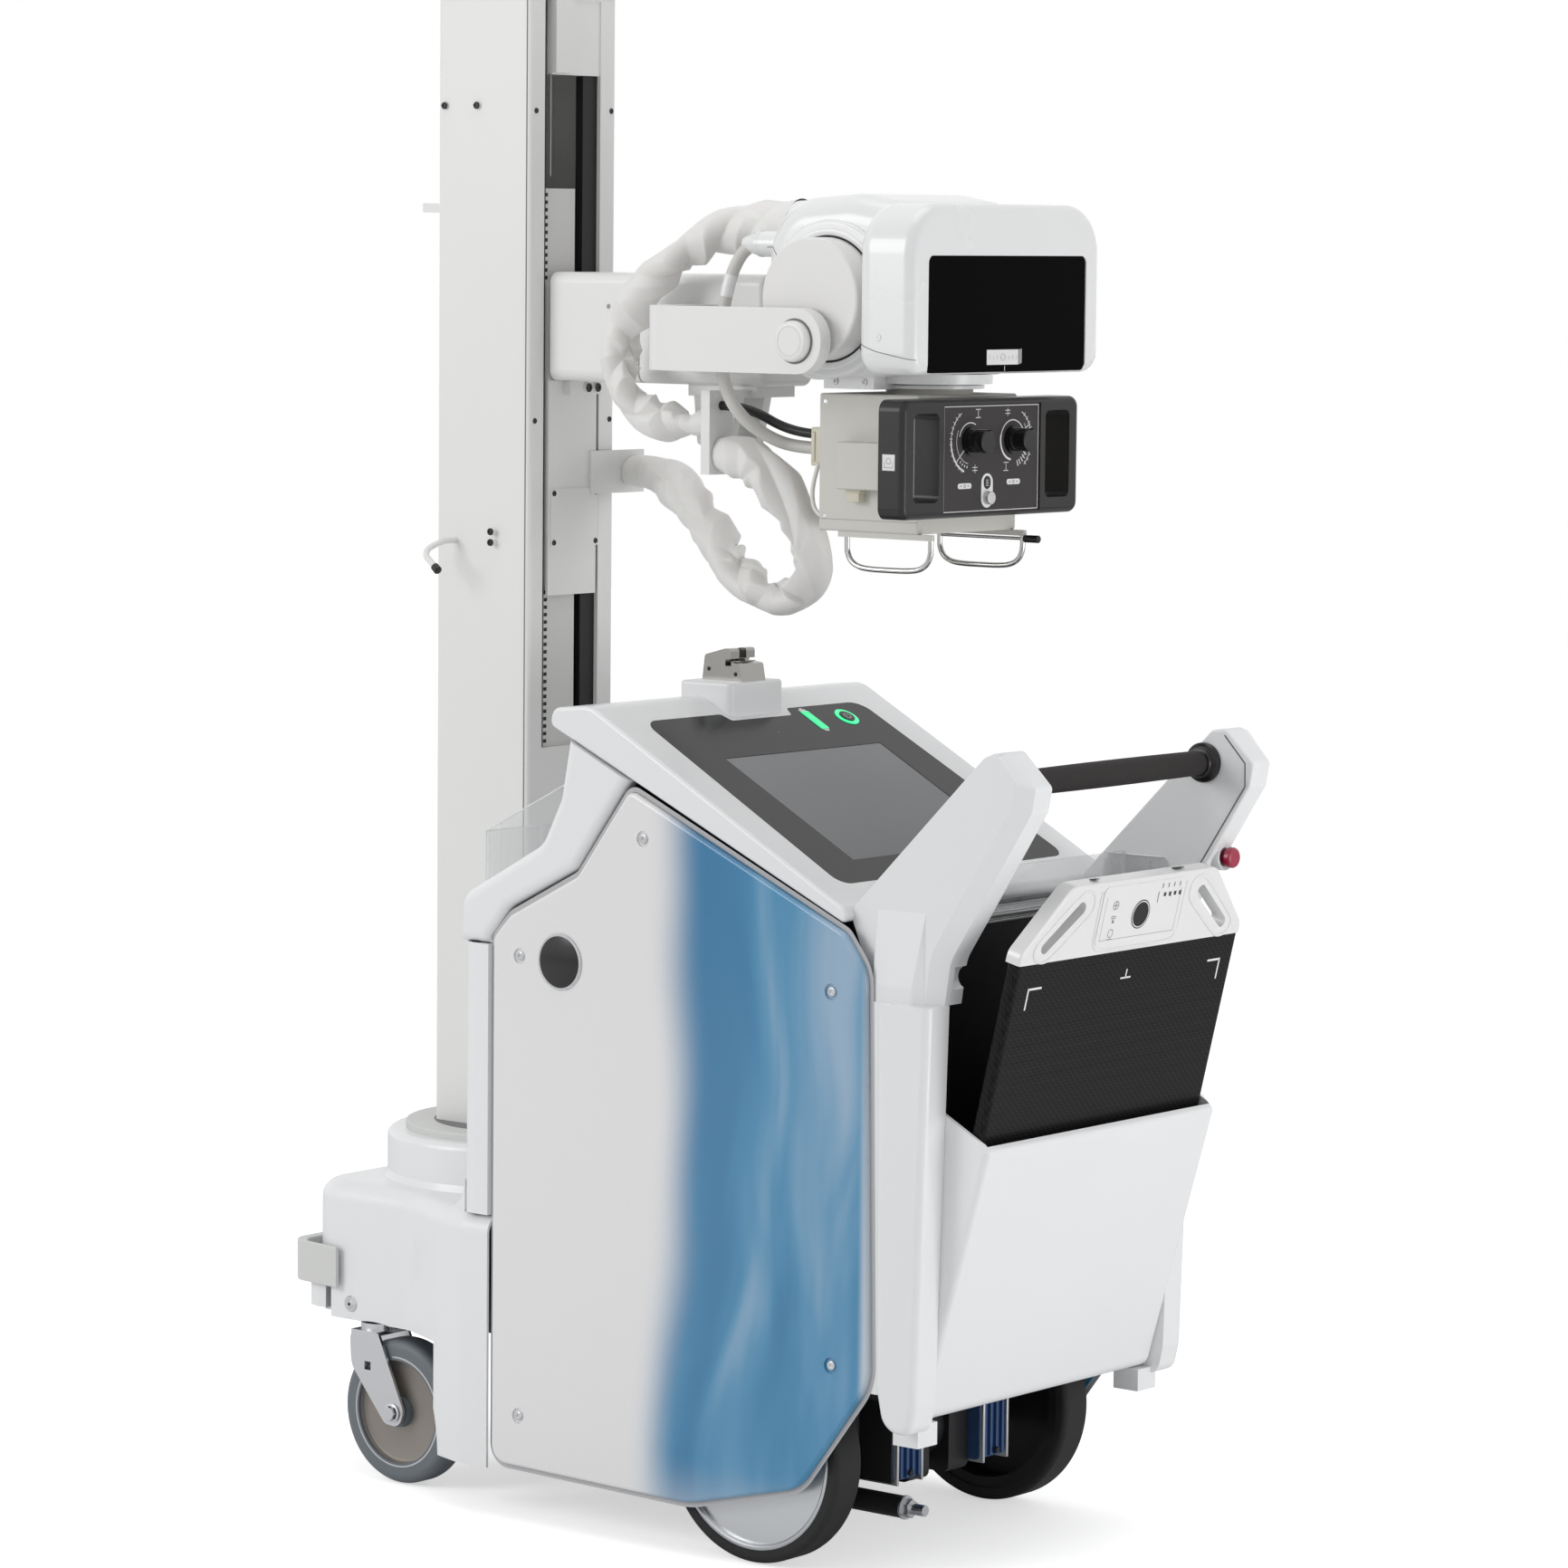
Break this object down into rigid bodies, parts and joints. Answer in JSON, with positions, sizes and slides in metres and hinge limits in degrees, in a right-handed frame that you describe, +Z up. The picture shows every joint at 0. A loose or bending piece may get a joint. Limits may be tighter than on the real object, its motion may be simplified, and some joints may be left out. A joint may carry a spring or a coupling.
{
  "type": "mobile x-ray machine",
  "caption": "Wheeled x-ray cart with a turning column, telescopic arm, tube head with collimator, sloping console, grip bar and a detector in its rear bin.",
  "frame": {"origin": "on the floor under the middle of the machine's length and width", "axes": "+X to the operator's grip bar, +Y to the machine's far side in the picture, +Z up the column"},
  "size_m": [1.2315, 0.559, 1.94],
  "materials": {
    "cover_white": "satin",
    "panel_pearl": "satin",
    "column_paint": "satin",
    "chassis_paint": "matte",
    "bumper_grey": "satin",
    "black_gloss": "gloss",
    "screen_grey": "gloss",
    "lamp_green": "gloss",
    "latch_steel": "brushed",
    "screw_zinc": "satin",
    "grip_foam": "matte",
    "liner_black": "satin",
    "carbon_black": "satin",
    "clear_plastic": "gloss",
    "stop_red": "gloss",
    "tyre_black": "matte",
    "hub_silver": "satin",
    "caster_rubber": "satin",
    "motor_blue": "gloss",
    "gear_black": "satin",
    "bright_chrome": "polished",
    "collimator_grey": "satin",
    "sleeve_white": "matte",
    "hose_grey": "satin",
    "cable_black": "satin"
  },
  "bodies": {
    "cart": {"chassis_frame": "chassis_paint", "nose_cover": "cover_white", "column_collar": "bumper_grey", "body_cover": "cover_white", "upper_cover": "cover_white", "column_guard": "clear_plastic", "console_frame": "cover_white", "console_bezel": "black_gloss", "console_screen": "screen_grey", "power_ring": "lamp_green", "latch_base": "cover_white", "park_latch": "latch_steel", "side_panel_near": "panel_pearl", "side_panel_far": "panel_pearl", "panel_screws": "screw_zinc", "rear_frame": "cover_white", "bin_front": "cover_white", "bin_liner": "liner_black", "handle_arm_near": "cover_white", "handle_arm_far": "cover_white", "grip_bar": "grip_foam", "rail_guard": "clear_plastic", "drive_motors": "motor_blue", "drive_gearboxes": "gear_black", "tow_stud": "screw_zinc"},
    "bumper": {"front_bumper": "bumper_grey"},
    "power_key": {"power_button": "black_gloss"},
    "stop_key": {"stop_button": "stop_red"},
    "detector": {"detector_panel": "carbon_black", "detector_handle": "cover_white"},
    "drive_near": {"drive_tyre_near": "tyre_black", "drive_hub_near": "hub_silver"},
    "drive_far": {"drive_tyre_far": "tyre_black", "drive_hub_far": "hub_silver"},
    "swivel_near": {"caster_fork_near": "screw_zinc"},
    "swivel_far": {"caster_fork_far": "screw_zinc"},
    "roller_near": {"caster_wheel_near": "caster_rubber"},
    "roller_far": {"caster_wheel_far": "caster_rubber"},
    "column": {"column_shell": "column_paint", "column_rails": "liner_black", "column_hooks": "bright_chrome"},
    "arm": {"carriage": "column_paint", "arm_outer": "column_paint", "sleeve_lower": "sleeve_white"},
    "inner_arm": {"arm_tube": "latch_steel"},
    "fork": {"yoke": "column_paint", "arm_latch": "screw_zinc", "sleeve_upper": "sleeve_white", "black_cable": "cable_black"},
    "head": {"head_shell": "cover_white", "head_hood": "cover_white", "head_display": "screen_grey", "head_discs": "cover_white", "head_hose": "hose_grey"},
    "collimator": {"collimator_body": "collimator_grey", "collimator_bezel": "black_gloss", "collimator_bails": "bright_chrome"},
    "dial_near": {"knob_near": "black_gloss"},
    "dial_far": {"knob_far": "black_gloss"},
    "light_key": {"light_button": "collimator_grey"}
  },
  "joints": [
    {"name": "bumper_press", "type": "slide", "parent": "cart", "child": "bumper", "axis": [1, 0, 0], "range_m": [0, 0.006], "stiffness_N_per_m": 3000, "springref_m": -0.002},
    {"name": "power_press", "type": "slide", "parent": "cart", "child": "power_key", "axis": [-0.4749, 0, -0.8801], "range_m": [0, 0.001], "stiffness_N_per_m": 400, "springref_m": -0.002},
    {"name": "stop_press", "type": "slide", "parent": "cart", "child": "stop_key", "axis": [-1, 0, 0], "range_m": [0, 0.004], "stiffness_N_per_m": 600, "springref_m": -0.002},
    {"name": "detector_lift", "type": "slide", "parent": "cart", "child": "detector", "axis": [0.2317, 0, 0.9728], "range_m": [0, 0.12]},
    {"name": "drive_spin_near", "type": "hinge", "parent": "cart", "child": "drive_near", "pos_m": [0.207, -0.234, 0.137], "axis": [0, 1, 0], "continuous": true},
    {"name": "drive_spin_far", "type": "hinge", "parent": "cart", "child": "drive_far", "pos_m": [0.207, 0.234, 0.137], "axis": [0, 1, 0], "continuous": true},
    {"name": "swivel_turn_near", "type": "hinge", "parent": "cart", "child": "swivel_near", "pos_m": [-0.471, -0.202, 0.2], "axis": [0, 0, 1], "continuous": true},
    {"name": "swivel_turn_far", "type": "hinge", "parent": "cart", "child": "swivel_far", "pos_m": [-0.471, 0.202, 0.2], "axis": [0, 0, 1], "continuous": true},
    {"name": "roller_spin_near", "type": "hinge", "parent": "swivel_near", "child": "roller_near", "pos_m": [-0.419, -0.202, 0.095], "axis": [0, 1, 0], "continuous": true},
    {"name": "roller_spin_far", "type": "hinge", "parent": "swivel_far", "child": "roller_far", "pos_m": [-0.419, 0.202, 0.095], "axis": [0, 1, 0], "continuous": true},
    {"name": "column_turn", "type": "hinge", "parent": "cart", "child": "column", "pos_m": [-0.402, 0, 0.458], "axis": [0, 0, 1], "range_deg": [-180, 180]},
    {"name": "arm_lift", "type": "slide", "parent": "column", "child": "arm", "axis": [0, 0, 1], "range_m": [-0.04, 0.24]},
    {"name": "arm_reach", "type": "slide", "parent": "arm", "child": "inner_arm", "axis": [1, 0, 0], "range_m": [0, 0.15], "deforming": ["sleeve_lower"]},
    {"name": "fork_roll", "type": "hinge", "parent": "inner_arm", "child": "fork", "pos_m": [-0.1, 0, 1.507], "axis": [1, 0, 0], "range_deg": [-90, 90]},
    {"name": "head_tilt", "type": "hinge", "parent": "fork", "child": "head", "pos_m": [0.21, 0, 1.499], "axis": [0, 1, 0], "range_deg": [-30, 30], "deforming": ["sleeve_upper"]},
    {"name": "collimator_turn", "type": "hinge", "parent": "head", "child": "collimator", "pos_m": [0.265, 0, 1.44], "axis": [0, 0, 1], "range_deg": [-90, 90], "deforming": ["head_hose", "black_cable"]},
    {"name": "dial_turn_near", "type": "hinge", "parent": "collimator", "child": "dial_near", "pos_m": [0.373, -0.043, 1.379], "axis": [1, 0, 0], "range_deg": [-150, 150]},
    {"name": "dial_turn_far", "type": "hinge", "parent": "collimator", "child": "dial_far", "pos_m": [0.373, 0.043, 1.379], "axis": [1, 0, 0], "range_deg": [-150, 150]},
    {"name": "light_press", "type": "slide", "parent": "collimator", "child": "light_key", "axis": [-1, 0, 0], "range_m": [0, 0.003], "stiffness_N_per_m": 300, "springref_m": -0.002}
  ]
}
